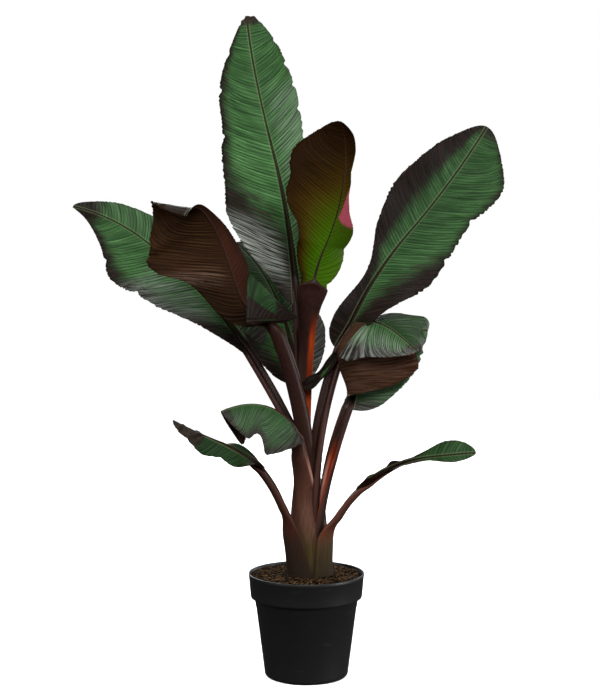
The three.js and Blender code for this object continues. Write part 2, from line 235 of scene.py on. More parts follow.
BAND_FOOT = POT_HEIGHT - BAND_HEIGHT - BAND_STEP
COLLAR_FOOT = BAND_FOOT - COLLAR_HEIGHT
BODY_TAPER = (BODY_TOP_RADIUS - FOOT_RADIUS) / (BAND_FOOT - FOOT_ROUND)
COLLAR_FOOT_RADIUS = BODY_TOP_RADIUS - COLLAR_HEIGHT * BODY_TAPER
foot_turn = [math.radians(angle) for angle in range(-90, 1, 10)]
foot_centre = FOOT_RADIUS - FOOT_ROUND
pot_profile = [
    (0, 0),
    *[(foot_centre + FOOT_ROUND * math.cos(a), FOOT_ROUND * (1 + math.sin(a))) for a in foot_turn],
    (COLLAR_FOOT_RADIUS, COLLAR_FOOT),
    (COLLAR_FOOT_RADIUS + COLLAR_PROUD, COLLAR_FOOT + COLLAR_SLANT),
    (BODY_TOP_RADIUS + COLLAR_PROUD, BAND_FOOT),
    (BAND_FOOT_RADIUS - BAND_UNDERSIDE, BAND_FOOT),
    (BAND_FOOT_RADIUS - BAND_ROUND[0], BAND_FOOT + BAND_ROUND[1]),
    (BAND_FOOT_RADIUS, BAND_FOOT + BAND_STEP),
    (RIM_RADIUS - RIM_PROUD, POT_HEIGHT - RIM_HEIGHT - RIM_SLANT),
    (RIM_RADIUS, POT_HEIGHT - RIM_HEIGHT),
    (RIM_RADIUS, POT_HEIGHT),
    (RIM_RADIUS - POT_WALL, POT_HEIGHT),
    (BAND_FOOT_RADIUS - POT_WALL, POT_HEIGHT - BAND_HEIGHT),
    (BODY_TOP_RADIUS - POT_WALL, BAND_FOOT),
    (FOOT_RADIUS - POT_WALL, FOOT_ROUND + POT_FLOOR),
    (FOOT_RADIUS - FOOT_ROUND, POT_FLOOR),
    (0, POT_FLOOR),
]
pot = place_piece("nursery_pot", turned(pot_profile, POT_STEPS), [pot_finish()], "pot", "pot")
rounding = pot.modifiers.new("moulded edges", "BEVEL")
rounding.width = POT_EDGE_ROUND * MM
rounding.segments = 2
rounding.limit_method = "ANGLE"
rounding.angle_limit = POT_EDGE_ANGLE

# Compost. Moist peat-brown mix that fills the pot to just under its rim, with a loose top of bark chips and
# a few coir fibres that lie where the watering left them.
COMPOST_TOP = 212
COMPOST_EDGE = 209
COMPOST_CLEAR = 0.4
COMPOST_INSIDE = 2
COMPOST_RINGS = 26
COMPOST_STEPS = 96
COMPOST_HEAVE = 1.6
HEAVE_PACE = 0.04
COVER_DEPTH = 1
CHIP_COUNT = 1500
CHIP_LENGTHS = (4, 13)
CHIP_SHORTENS = (0.6, 1)
CHIP_WIDTHS = (0.35, 0.7)
CHIP_DEPTHS = (0.12, 0.25)
CHIP_SITS = (-0.08, 0.12)
CHIP_TILT = 0.5
CHIP_ROUGH = 0.1
CHIP_ROUGH_PACE = 700
CHIP_SHADE = 0.6
FIBRE_COUNT = 240
FIBRE_LENGTHS = (10, 30)
FIBRE_ARCHES = (0.5, 3.0)
FIBRE_SWAY = 0.25
FIBRE_STEPS = 6
FIBRE_WIDTH = 0.8
FIBRE_THICK = 0.5
FIBRE_LIFT = 1.0
STEM_FOOT = (7, -2)
STEM_FOOT_CLEAR = 46
COMPOST_SEED = 11
CHIP_BROWNS = [(14, 9, 4), (25, 16, 8), (46, 31, 17), (8, 5, 3), (112, 82, 52)]
COMPOST_BROWN = (8, 6, 4)
COMPOST_PALE = (26, 17, 9)
COIR_BROWN = (58, 42, 26)
COIR_PALE = (112, 86, 58)


def compost_level(x, y):
    """Height of the compost's top, in millimetres, with its heaves."""
    out = min(math.hypot(x, y) / (RIM_RADIUS - POT_WALL), 1)
    heave = noise.fractal(Vector((x, y, 0)) * HEAVE_PACE, 1.0, 2.0, 4)
    return COMPOST_TOP - (COMPOST_TOP - COMPOST_EDGE) * out**2 + COMPOST_HEAVE * heave


def compost_finish(name, dark, pale):
    finish = Finish(name)
    place = finish.place()
    lumps = finish.mottle(place, scale=260, detail=5)
    patches = finish.mottle(place, scale=70, detail=3).ramp(0.35, 0.7)
    colour = finish.shade(patches, dark, pale)
    normal = finish.bump(lumps, distance=0.002, strength=0.7)
    return finish.dress(Base_Color=colour, Roughness=0.92, Specular_IOR_Level=0.05, Normal=normal)


compost_rim = RIM_RADIUS - POT_WALL - COMPOST_INSIDE
compost_wall = [
    (0, POT_FLOOR + COMPOST_CLEAR),
    (FOOT_RADIUS - FOOT_ROUND - COMPOST_CLEAR, POT_FLOOR + COMPOST_CLEAR),
    (FOOT_RADIUS - POT_WALL - COMPOST_CLEAR, FOOT_ROUND + POT_FLOOR),
    (BODY_TOP_RADIUS - POT_WALL - COMPOST_CLEAR, BAND_FOOT),
    (BAND_FOOT_RADIUS - POT_WALL - COMPOST_CLEAR, POT_HEIGHT - BAND_HEIGHT),
]
compost_cover = [(compost_rim * (1 - i / COMPOST_RINGS), COMPOST_TOP) for i in range(COMPOST_RINGS + 1)]
compost_body = turned(compost_wall + compost_cover, COMPOST_STEPS)
for vert in compost_body.verts:
    if vert.co.z > (COMPOST_TOP - COVER_DEPTH) * MM:
        vert.co.z = compost_level(vert.co.x / MM, vert.co.y / MM) * MM
peat = compost_finish("peat", COMPOST_BROWN, COMPOST_PALE)
place_piece("compost_body", compost_body, [peat], "compost", "compost")

chance = random.Random(COMPOST_SEED)
noise.seed_set(COMPOST_SEED)


def loose_spot(reach):
    """A chance place on the compost, clear of the stem's foot and of the pot's wall."""
    while True:
        turn = chance.uniform(0, 2 * math.pi)
        out = (compost_rim - reach) * math.sqrt(chance.random())
        x = out * math.cos(turn)
        y = out * math.sin(turn)
        if math.hypot(x - STEM_FOOT[0], y - STEM_FOOT[1]) > STEM_FOOT_CLEAR + reach / 2:
            return x, y


bark = bmesh.new()
for number in range(CHIP_COUNT):
    length = chance.uniform(*CHIP_LENGTHS) * chance.uniform(*CHIP_SHORTENS)
    x, y = loose_spot(length / 2)
    level = compost_level(x, y) + chance.uniform(*CHIP_SITS) * length
    tilt = Euler((chance.gauss(0, CHIP_TILT), chance.gauss(0, CHIP_TILT), chance.uniform(0, 2 * math.pi)))
    size = Vector((1, chance.uniform(*CHIP_WIDTHS), chance.uniform(*CHIP_DEPTHS))) * length * MM / 2
    stand = Matrix.LocRotScale(Vector((x, y, level)) * MM, tilt, size)
    chip = bmesh.ops.create_icosphere(bark, subdivisions=1, radius=1, matrix=stand)
    brown = chance.randrange(len(CHIP_BROWNS))
    for vert in chip["verts"]:
        vert.co += noise.noise_vector(vert.co * CHIP_ROUGH_PACE) * length * CHIP_ROUGH * MM
        for face in vert.link_faces:
            face.material_index = brown
chip_finishes = [
    compost_finish(f"bark {number + 1}", [part * CHIP_SHADE for part in brown], brown)
    for number, brown in enumerate(CHIP_BROWNS)
]
place_piece("bark_chips", bark, chip_finishes, "compost", "compost")

fibres = bmesh.new()
for number in range(FIBRE_COUNT):
    length = chance.uniform(*FIBRE_LENGTHS)
    x, y = loose_spot(length / 2)
    turn = chance.uniform(0, 2 * math.pi)
    arch = chance.uniform(*FIBRE_ARCHES)
    sway = chance.uniform(-FIBRE_SWAY, FIBRE_SWAY) * length
    strand = bmesh.ops.create_grid(fibres, x_segments=FIBRE_STEPS, y_segments=1, size=0.5)
    for vert in strand["verts"]:
        along = vert.co.x * length
        aside = sway * (4 * vert.co.x**2 - 0.5) + vert.co.y * FIBRE_WIDTH
        sx = x + along * math.cos(turn) - aside * math.sin(turn)
        sy = y + along * math.sin(turn) + aside * math.cos(turn)
        rise = FIBRE_LIFT + arch * (1 - 4 * vert.co.x**2)
        vert.co = Vector((sx, sy, compost_level(sx, sy) + rise)) * MM
bmesh.ops.solidify(fibres, geom=fibres.faces[:], thickness=FIBRE_THICK * MM)
coir = compost_finish("coir", COIR_BROWN, COIR_PALE)
place_piece("coir_fibres", fibres, [coir], "compost", "compost")

# Pseudostem. Not wood: a tight roll of fleshy leaf sheaths, each wrapped over the next, that tapers from the
# compost to the fork. The margins of the sheaths show as slanting steps, and the skin is waxy and streaked.
STEM_TOP = 442
STEM_SUNK = 5
STEM_ACROSS = [46, 44.5, 44, 42, 38, 33, 25]
STEM_DEPTH = [46, 43.5, 42, 39, 35, 30, 23]
STEM_TOP_CENTRE = (3, 0)
STEM_SIDES = 120
STEM_RINGS = 90
STEM_CLOSE = 0.1
SHEATH_WRAPS = 3
SHEATH_STEP = 3.0
SHEATH_TWIST = 0.16
SHEATH_EDGE = 0.08
SHEATH_INSET = 3.0
EDGE_SHOWS = (0.8, 0.98)
GREEN_ENDS = (0.05, 0.5)
SHEATH_REDS = ((44, 22, 16), (96, 58, 44))
SHEATH_GREENS = ((20, 22, 8), (58, 50, 24))
SHEATH_MARGIN = (120, 74, 62)


def lerp(first, second, share):
    return first + (second - first) * share


def clamp(value):
    return min(max(value, 0.0), 1.0)


def ease(share):
    share = clamp(share)
    return share * share * (3 - 2 * share)


def rise_between(low, high, value):
    return ease((value - low) / (high - low))


def flowing(stations, share):
    """A smooth curve through even stations, with its ends held."""
    last = len(stations) - 1
    place = clamp(share) * last
    start = min(int(place), last - 1)
    f = place - start
    p1, p2 = stations[start], stations[start + 1]
    p0 = stations[max(start - 1, 0)]
    p3 = stations[min(start + 2, last)]
    bend = 2 * p0 - 5 * p1 + 4 * p2 - p3 + f * (3 * (p1 - p2) + p3 - p0)
    return p1 + 0.5 * f * (p2 - p0 + f * bend)


def stem_share(height):
    return clamp((height - COMPOST_TOP) / (STEM_TOP - COMPOST_TOP))


def stem_centre(height):
    share = stem_share(height)
    x = lerp(STEM_FOOT[0], STEM_TOP_CENTRE[0], share)
    y = lerp(STEM_FOOT[1], STEM_TOP_CENTRE[1], share)
    return Vector((x, y, height))


def stem_surface(turn, height, proud):
    """A point on the rolled sheaths at a turn round the stem, standing proud of the plain taper."""
    share = stem_share(height)
    out = Vector((math.cos(turn), math.sin(turn), 0))
    across = flowing(STEM_ACROSS, share) + proud
    depth = flowing(STEM_DEPTH, share) + proud
    return stem_centre(height) + Vector((across * out.x, depth * out.y, 0))


def sheath_wrap(turn, height):
    """How far round its own sheath a place on the stem lies, from its inner to its outer margin."""
    return (SHEATH_WRAPS * (turn / (2 * math.pi) + SHEATH_TWIST * stem_share(height))) % 1


def grown_sheet(columns, rows, place, marks=()):
    """A grid whose corners go to place(across, along), with both shares from 0 to 1, and carry marks."""
    bm = bmesh.new()
    layers = [bm.verts.layers.float.new(mark) for mark in marks]
    bmesh.ops.create_grid(bm, x_segments=columns, y_segments=rows, size=0.5)
    for vert in bm.verts:
        point, *values = place(vert.co.x + 0.5, vert.co.y + 0.5)
        vert.co = point * MM
        for layer, value in zip(layers, values):
            vert[layer] = value
    return bm


def grown_tube(sides, rings, place, marks=()):
    """A grown sheet that is rolled up and welded, with both ends filled."""
    bm = grown_sheet(sides, rings, place, marks)
    bmesh.ops.remove_doubles(bm, verts=bm.verts, dist=1e-7)
    ends = [edge for edge in bm.edges if edge.is_boundary]
    bmesh.ops.holes_fill(bm, edges=ends, sides=0)
    bmesh.ops.recalc_face_normals(bm, faces=bm.faces)
    return bm


def stem_place(across, along):
    turn = 2 * math.pi * across
    height = lerp(COMPOST_TOP - STEM_SUNK, STEM_TOP, along)
    wrap = sheath_wrap(turn, height)
    step = SHEATH_STEP * (wrap - rise_between(1 - SHEATH_EDGE, 1, wrap))
    closing = math.sqrt(clamp((1 - along) / STEM_CLOSE))
    point = stem_surface(turn, height, step - SHEATH_STEP - SHEATH_INSET)
    edge = rise_between(*EDGE_SHOWS, wrap)
    return stem_centre(height).lerp(point, closing), edge, along


def sheath_finish():
    finish = Finish("waxy sheath skin")
    place = finish.place()
    edge = finish.mark("edge")
    along = finish.mark("along")
    fibres = finish.mottle(finish.stretched(place, 420, 420, 9), scale=1, detail=4)
    blotch = finish.mottle(finish.stretched(place, 30, 30, 14), scale=1, detail=3)
    red = finish.shade(fibres.ramp(0.3, 0.7), *SHEATH_REDS)
    green = finish.shade(fibres.ramp(0.3, 0.7), *SHEATH_GREENS)
    low = 1 - along.ramp(*GREEN_ENDS)
    colour = finish.blend(low * blotch.ramp(0.3, 0.6), red, green)
    colour = finish.stain(edge * 0.3, colour, SHEATH_MARGIN)
    normal = finish.bump(fibres, distance=0.0008, strength=0.35)
    roughness = 0.36 + blotch * 0.2
    return finish.dress(Base_Color=colour, Roughness=roughness, Specular_IOR_Level=0.2, Normal=normal)


stem = grown_tube(STEM_SIDES, STEM_RINGS, stem_place, ("edge", "along"))
place_piece("rolled_sheaths", stem, [sheath_finish()], "pseudostem", "pseudostem")

# Stalks. Each leaf's sheath narrows into a stout stalk with a channel along its upper side, and runs on as
# the midrib under its blade to the tip. The three oldest wrap the stem from the compost upwards.

# Each row is one leaf's growth, in millimetres and degrees. neck is where stalk and blade meet, and stalk and
# blade are their lengths. lean, from upright, and heading, from +X, hold foot, neck and even stations to the
# tip, and roll turns the blade about its line from neck to tip. width is the stalk's width at foot and neck,
# and widths its stations where it doesn't narrow evenly. rib is the share of it that is left where it has
# become the midrib, sets_in the share of the blade where it has, and deepest the limit of its depth.
# wrap holds the half angle round the stem at the foot and where the stalk leaves it, a turn at the foot, how
# far it stands proud, how far it gapes where it leaves, and the share of the stalk that clings.
# warm and pale are an orange and a cream band: how strong, the turn of its middle round the stalk from its
# upper face and its half, and its first and last shares. The cream band is partly the margin's own colour and
# partly a painted highlight. dark is how dark the skin is, most at the foot.
GROWTH = {
    "tall": dict(neck=(-19, 29, 768), stalk=409, blade=630, lean=(2, 5, 16, 20),
                 heading=(109, 139, 153, 106), roll=(45, 55, 20), width=(30, 21)),
    "young": dict(neck=(13, -24, 804), stalk=406, blade=356, lean=(-4, 14, 26, 24, 17, 36),
                  heading=(-75, -56, -25, -57, -80, -132), roll=(40, 30, 10), width=(40, 62),
                  widths=(38, 32, 30, 30, 30, 30, 30, 31, 33, 42, 62), warm=(1.0, -118, 46, 0.1, 0.8),
                  rib=0.1, sets_in=0.06, deepest=6),
    "right": dict(neck=(69, 1, 675), stalk=384, blade=585, lean=(-6, 23, 44, 34),
                  heading=(18, 28, 23, 21), roll=(-40, -55, -60), width=(44, 28),
                  pale=(0.8, 165, 14, 0.1, 0.5), rib=0.45),
    "far_left": dict(neck=(-117, 53, 662), stalk=290, blade=507, lean=(27, 33, 45, 53, 77),
                     heading=(155, 165, 167, 178), roll=(40, 50, 40), width=(34, 23)),
    "brown": dict(neck=(-57, -59, 708), stalk=389, blade=370, lean=(0, 24, 65, 22, 21, 28, 52, 150),
                  heading=(-129, -150, -162, -150, -146, -143, -130, -118), roll=(-60, -60, -55, -40, 20),
                  width=(46, 30), rib=0.25),
    "folded": dict(neck=(83, -33, 560), stalk=305, blade=178, lean=(4, 20, 19, 8),
                   heading=(-25, 5, 45, 48), roll=(-80, -55, -45), width=(36, 24),
                   warm=(0.75, 20, 42, 0.25, 0.72), pale=(0.8, -14, 12, 0.15, 0.6)),
    "folded_tip": dict(neck=(126, -11, 738), stalk=0, blade=134, lean=(92, 94, 122, 131),
                       heading=(-41, -41, -33, -25), roll=(0, 0), width=(8, 8)),
    "low_left": dict(neck=(-90, -68, 435), stalk=221, blade=215, lean=(4, 40, 67, 61),
                     heading=(-140, -153, -165, -164), roll=(35, 45, 35), width=(52, 22), dark=0.7,
                     warm=(0.07, 180, 80, 0.35, 0.7),
                     wrap=dict(half=(65, 8), turn=-8, proud=2.2, gape=24, until=0.6)),
    "front": dict(neck=(-18, -66, 500), stalk=278, blade=205, lean=(-1, 17, 53, 88, 116),
                  heading=(-95, -112, -156, -166, -166), roll=(0, 0), width=(56, 26),
                  widths=(58, 52, 50, 47, 40, 26), pale=(0.8, -104, 18, 0.42, 0.82), dark=0.0,
                  wrap=dict(half=(42, 46), turn=6, proud=-1.0, gape=0, until=0.9)),
    "low_right": dict(neck=(106, -58, 394), stalk=187, blade=260, lean=(6, 48, 62, 82, 84),
                      heading=(-42, -25, -18, -14, -13), roll=(-20, -60, -50), width=(46, 20),
                      warm=(0.25, 150, 100, 0.4, 0.52), dark=0.2,
                      wrap=dict(half=(70, 32), turn=14, proud=2.6, gape=9, until=0.62)),
    "back": dict(neck=(-18, 53, 600), stalk=244, blade=371, lean=(1, 17, 32, 57),
                 heading=(109, 111, 132, 141), roll=(10, 25, 20), width=(28, 18)),
    "strip": dict(neck=(66, -6, 672), stalk=0, blade=108, lean=(145, 145, 140, 100),
                  heading=(-161, -161, -160, -185), roll=(60, 60, 90), width=(8, 8)),
    "lap": dict(neck=(-121, -90, 742), stalk=0, blade=104, lean=(90, 90, 89, 86), heading=(0, 0, 4, 8),
                roll=(-80, -95), width=(8, 8)),
}
STALK_STEPS = 24
BLADE_STEPS = 60
STALK_SIDES = 40
STALK_ROW = 4.0
FOOT_DEPTH = 0.3
NECK_DEPTH = 0.42
CHANNEL_LIP = 1.1
CHANNEL_FLOOR = 0.12
RIB_TIP_HALF = 1.4
RIB_SETS_IN = 0.12
RIB_TUCK = 0.425
RIB_NARROWS = 2.0
SHEATH_THINS = 1.2
GAPE_POWER = 1.5
USUAL_DARK = 0.75
FOOT_SLIM = 0.6
FOOT_FILLS_OUT = 0.3
DEEPEST = 15.0
SHEATH_THICK = 4.0
FREES_FROM = 0.55
LIP_OUT = (0.55, 0.95)
LIP_UP = (-0.5, 0.2)
LIP_SHOWS = (0.4, 0.8)
BAND_FADE = 0.1
BAND_SOFT = 0.3
OLIVE_ENDS = (30, 130)
COMPOST_SHADE_ENDS = (5, 60)
FOOT_ENDS = (200, 300)
DULL_ENDS = (60, 200)
STALK_MAROONS = ((30, 14, 11), (52, 27, 21))
FOOT_REDS = ((72, 45, 35), (90, 57, 45))
FOOT_OLIVES = ((36, 34, 5), (62, 52, 13))
FOOT_DARK = (30, 17, 10)
FOOT_COMPOST_SHADE = (18, 15, 5)
BAND_ORANGES = ((112, 36, 8), (176, 66, 20))
BAND_CREAM_AND_HIGHLIGHT = (176, 128, 116)
LIP_PINK = (150, 84, 78)
STALK_BLACK = (15, 8, 6)


def between(stations, share, blend=clamp):
    """A value between even stations. blend shapes the way from one station to the next."""
    place = clamp(share) * (len(stations) - 1)
    start = min(int(place), len(stations) - 2)
    return lerp(stations[start], stations[start + 1], blend(place - start))


def direction(lean, heading):
    tilt, turn = math.radians(lean), math.radians(heading)
    return Vector((math.sin(tilt) * math.cos(turn), math.sin(tilt) * math.sin(turn), math.cos(tilt)))


def axes_at(lean, heading, roll):
    """The leaf's side and upper face where it has a lean, a heading and a roll."""
    upright = direction(lean - 90, heading)
    across = direction(lean, heading).cross(upright)
    c, s = math.cos(math.radians(roll)), math.sin(math.radians(roll))
    return across * c + upright * s, upright * c - across * s


def spine(start, length, steps, lean, heading):
    """Points that start at a point and grow by equal steps along angles between stations."""
    points = [Vector(start)]
    for i in range(steps):
        middle = (i + 0.5) / steps
        way = direction(between(lean, middle), between(heading, middle))
        points.append(points[i] + way * (length / steps))
    return points


def point_on(points, share):
    place = clamp(share) * (len(points) - 1)
    start = min(int(place), len(points) - 2)
    return points[start].lerp(points[start + 1], place - start)


def stalk_points(leaf):
    points = spine((0, 0, 0), leaf["stalk"], STALK_STEPS, leaf["lean"][:2], leaf["heading"][:2])
    shift = Vector(leaf["neck"]) - points[-1]
    return [point + shift for point in points]


def blade_points(leaf):
    return spine(leaf["neck"], leaf["blade"], BLADE_STEPS, leaf["lean"][1:], leaf["heading"][1:])


def rib_half(leaf, share):
    """Half width of the midrib at a share of the blade."""
    slim = lerp(1, leaf.get("rib", 1), rise_between(0, leaf.get("sets_in", RIB_SETS_IN), share))
    return max(leaf["width"][1] / 2 * slim * (1 - clamp(share)) ** RIB_NARROWS, RIB_TIP_HALF)


def stalk_section(leaf, points, share, up, over):
    """A point of the stalk's section. up and over run from -1 to 1 through its depth and its width."""
    lean = between(leaf["lean"][:2], share)
    heading = between(leaf["heading"][:2], share)
    side, face = axes_at(lean, heading, leaf["roll"][0] * ease(share))
    width = flowing(leaf["widths"], share) if "widths" in leaf else lerp(*leaf["width"], math.sqrt(share))
    width *= lerp(FOOT_SLIM, 1, rise_between(0, FOOT_FILLS_OUT, share))
    depth = min(width * lerp(FOOT_DEPTH, NECK_DEPTH, share), leaf.get("deepest", DEEPEST))
    lift = up * (CHANNEL_LIP * abs(over) + CHANNEL_FLOOR) if up > 0 else up
    return point_on(points, share) + side * (over * width / 2) + face * (lift * depth)


def clinging_section(leaf, points, share, up, over):
    """The same for a sheath that clings to the stem: thin at its margins, and wrapped round."""
    wrap = leaf["wrap"]
    cling = clamp(share / wrap["until"])
    path = point_on(points, share)
    height = path.z - (points[0].z - COMPOST_TOP + STEM_SUNK) * (1 - cling)
    out = path - stem_centre(height)
    centre = math.atan2(out.y, out.x) + math.radians(wrap["turn"]) * (1 - cling)
    turn = centre - math.radians(lerp(*wrap["half"], cling)) * over
    proud = wrap["proud"] + wrap["gape"] * cling**GAPE_POWER
    return stem_surface(turn, height, proud - SHEATH_THINS * (1 + min(up, 0)) - SHEATH_THICK * (up > 0))


def rib_section(leaf, points, share, up, over):
    """The midrib: a half round under the blade, its flat top tucked under the channel."""
    side, face = axes_at(between(leaf["lean"][1:], share), between(leaf["heading"][1:], share),
                         between(leaf["roll"], share, ease))
    half = rib_half(leaf, share)
    depth = min(2 * half * NECK_DEPTH, leaf.get("deepest", DEEPEST))
    channel = 1 - rise_between(0, leaf.get("sets_in", RIB_SETS_IN), share)
    lift = up * (CHANNEL_LIP * abs(over) + CHANNEL_FLOOR) * channel if up > 0 else up
    tuck = RIB_TUCK * half * (1 - channel)
    return point_on(points, share) + side * (over * half) + face * (lift * depth - tuck)


def stretch(first, last, fade, share):
    """1 between two shares, with a fade at each end."""
    begun = rise_between(first - fade, first + fade, share)
    return begun * (1 - rise_between(last - fade, last + fade, share))


def band_share(leaf, kind, turn, share):
    """How strongly a coloured band shows at a turn round the stalk and a share of its length."""
    if kind not in leaf:
        return 0.0
    amount, middle, half, first, last = leaf[kind]
    away = abs(math.degrees(math.remainder(turn - math.radians(middle), 2 * math.pi)))
    beyond = rise_between(half * (1 - BAND_SOFT), half * (1 + BAND_SOFT), away)
    return amount * stretch(first, last, BAND_FADE, share) * (1 - beyond)


def stalk_shape(leaf):
    stalk = stalk_points(leaf)
    blade = blade_points(leaf)
    whole = leaf["stalk"] + leaf["blade"]
    neck = leaf["stalk"] / whole
    clings = leaf["wrap"]["until"] if "wrap" in leaf else 0

    def place(across, along):
        turn = 2 * math.pi * across
        up, over = math.cos(turn), math.sin(turn)
        share = along / neck
        lip = rise_between(*LIP_OUT, abs(over)) * rise_between(*LIP_UP, up)
        if clings:
            lip *= rise_between(clings * LIP_SHOWS[0], clings * LIP_SHOWS[1], share)
        if along > neck:
            point = rib_section(leaf, blade, (along - neck) / (1 - neck), up, over)
        else:
            point = stalk_section(leaf, stalk, share, up, over)
            if clings:
                free = rise_between(clings * FREES_FROM, clings, share)
                point = clinging_section(leaf, stalk, share, up, over).lerp(point, free)
        warmth = band_share(leaf, "warm", turn, share)
        cream_and_highlight = band_share(leaf, "pale", turn, share)
        return point, lip, warmth, cream_and_highlight, along * whole, leaf.get("dark", USUAL_DARK)

    rows = int(whole / STALK_ROW)
    return grown_tube(STALK_SIDES, rows, place, ("lip", "warmth", "cream_and_highlight", "length", "dark"))


def stalk_finish():
    finish = Finish("glossy red stalk skin")
    place = finish.place()
    lip = finish.mark("lip")
    warmth = finish.mark("warmth")
    length = finish.mark("length")
    dark = finish.mark("dark")
    fibres = finish.mottle(finish.stretched(place, 500, 500, 14), scale=1, detail=4)
    patches = finish.mottle(finish.stretched(place, 40, 40, 12), scale=1, detail=3)
    streaks = fibres.ramp(0.25, 0.75)
    maroon = finish.shade(streaks, *STALK_MAROONS)
    foot = finish.shade(streaks, *FOOT_REDS)
    olive = finish.shade(streaks, *FOOT_OLIVES)
    glow = finish.shade(patches.ramp(0.3, 0.7), *BAND_ORANGES)
    foot = finish.blend((1 - length.ramp(*OLIVE_ENDS)) * patches.ramp(0.15, 0.45) * (1 - dark), foot, olive)
    foot = finish.stain(dark, foot, FOOT_DARK)
    # Painted shade: the stalk's foot darkens where it meets the compost.
    foot = finish.stain((1 - length.ramp(*COMPOST_SHADE_ENDS)) * 0.6, foot, FOOT_COMPOST_SHADE)
    colour = finish.blend((1 - length.ramp(*FOOT_ENDS)) * patches.ramp(-0.1, 0.4), maroon, foot)
    colour = finish.stain(lip * 0.12, colour, LIP_PINK)
    colour = finish.stain(dark * 0.35, colour, STALK_BLACK)
    colour = finish.blend(warmth, colour, glow)
    # The pale band: partly the margin's own cream colour, partly a painted highlight along it.
    colour = finish.stain(finish.mark("cream_and_highlight"), colour, BAND_CREAM_AND_HIGHLIGHT)
    normal = finish.bump(fibres, distance=0.0006, strength=0.2)
    roughness = 0.34 + patches * 0.2 + (1 - length.ramp(*DULL_ENDS)) * 0.3
    return finish.dress(Base_Color=colour, Roughness=roughness, Specular_IOR_Level=0.16, Normal=normal)


stalk_skin = stalk_finish()
for name, leaf in GROWTH.items():
    if leaf["stalk"]:
        place_piece("stalk_" + name, stalk_shape(leaf), [stalk_skin], "petiole", "petiole_" + name)
